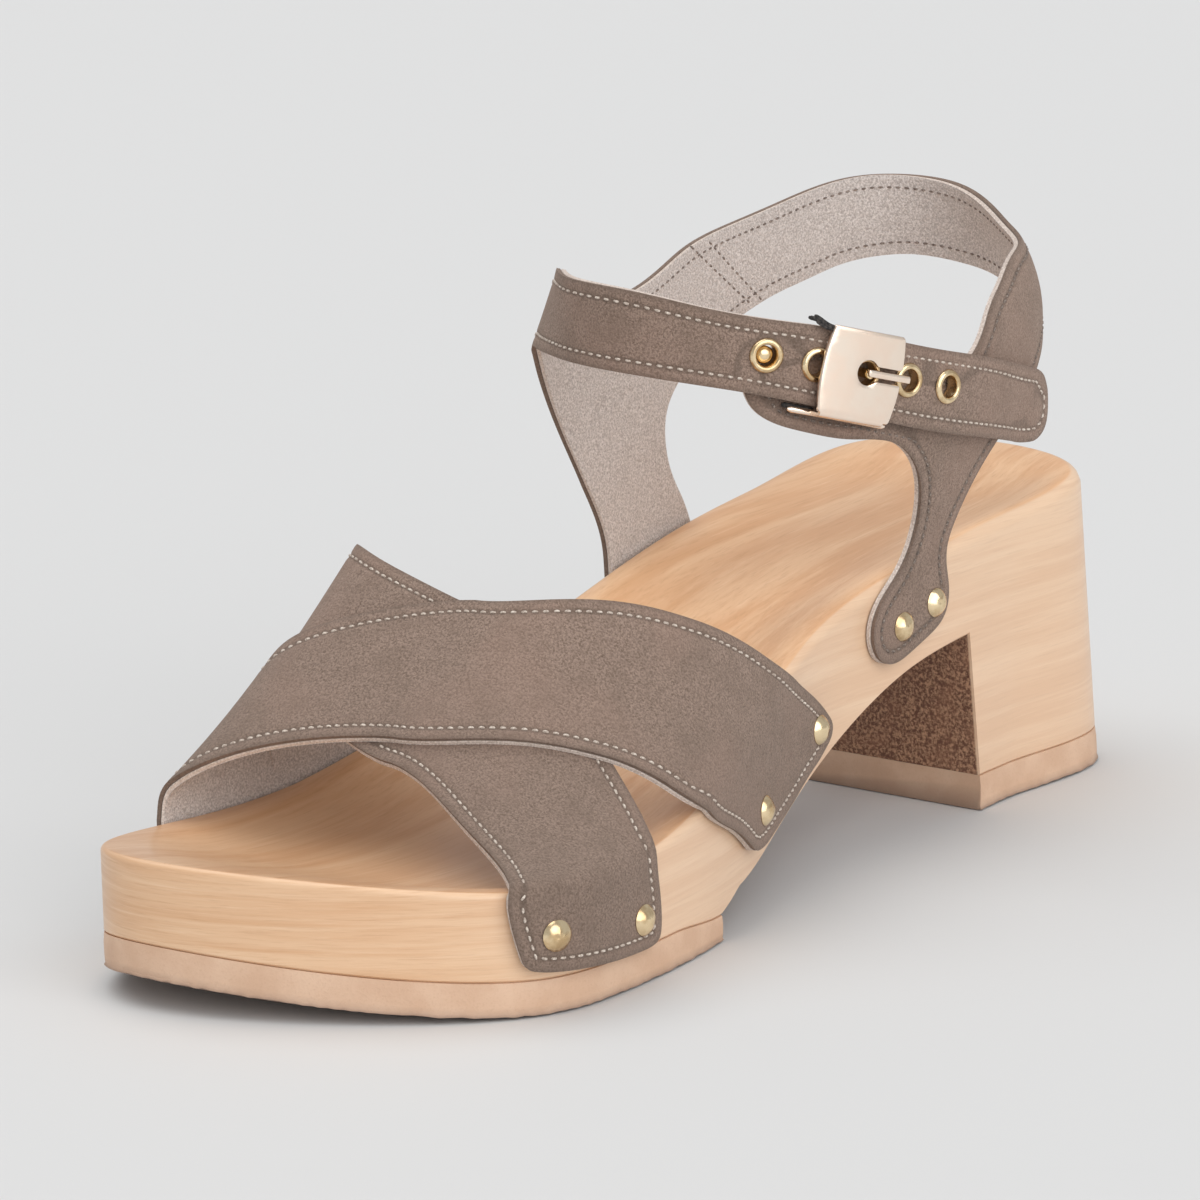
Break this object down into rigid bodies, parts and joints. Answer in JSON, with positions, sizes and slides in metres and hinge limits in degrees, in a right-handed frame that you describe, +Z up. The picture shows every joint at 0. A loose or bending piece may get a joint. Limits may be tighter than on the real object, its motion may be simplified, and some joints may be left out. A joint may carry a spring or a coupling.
{
  "type": "wooden sole sandal",
  "caption": "Open sandal on a dished wooden block sole: crossed suede straps nailed to its sides, a heel band with a buckled ankle strap, rubber outsole and heel lift.",
  "frame": {"origin": "on the floor, under the middle of the shoe's outer box", "axes": "+Z up, -Y towards the toe, +Y towards the heel, +X towards the buckle side, which is the outer side of a left foot"},
  "size_m": [0.095, 0.2484, 0.1163],
  "materials": {
    "wood": "pale close-grained wood, satin lacquer, grain lengthwise",
    "rubber": "matte beige rubber",
    "suede": "taupe suede outside, pale grey split lining inside, off-white stitching",
    "rose_gold": "polished pale rose gold plating",
    "brass": "polished yellow brass plating"
  },
  "bodies": {
    "root": {"wooden_sole": "wood", "forefoot_outsole": "rubber", "heel_lift": "rubber", "cross_straps": "suede", "ankle_quarter": "suede", "buckle_plate": "rose_gold", "buckle_prong": "brass", "eyelet_1": "brass", "eyelet_2": "brass", "eyelet_3": "brass", "eyelet_4": "brass", "eyelet_5": "brass", "nail_upper_1": "brass", "nail_upper_2": "brass", "nail_upper_3": "brass", "nail_upper_4": "brass", "nail_lower_1": "brass", "nail_lower_2": "brass", "nail_lower_3": "brass", "nail_lower_4": "brass", "nail_leg_1": "brass", "nail_leg_2": "brass", "nail_leg_3": "brass", "nail_leg_4": "brass"}
  },
  "joints": []
}
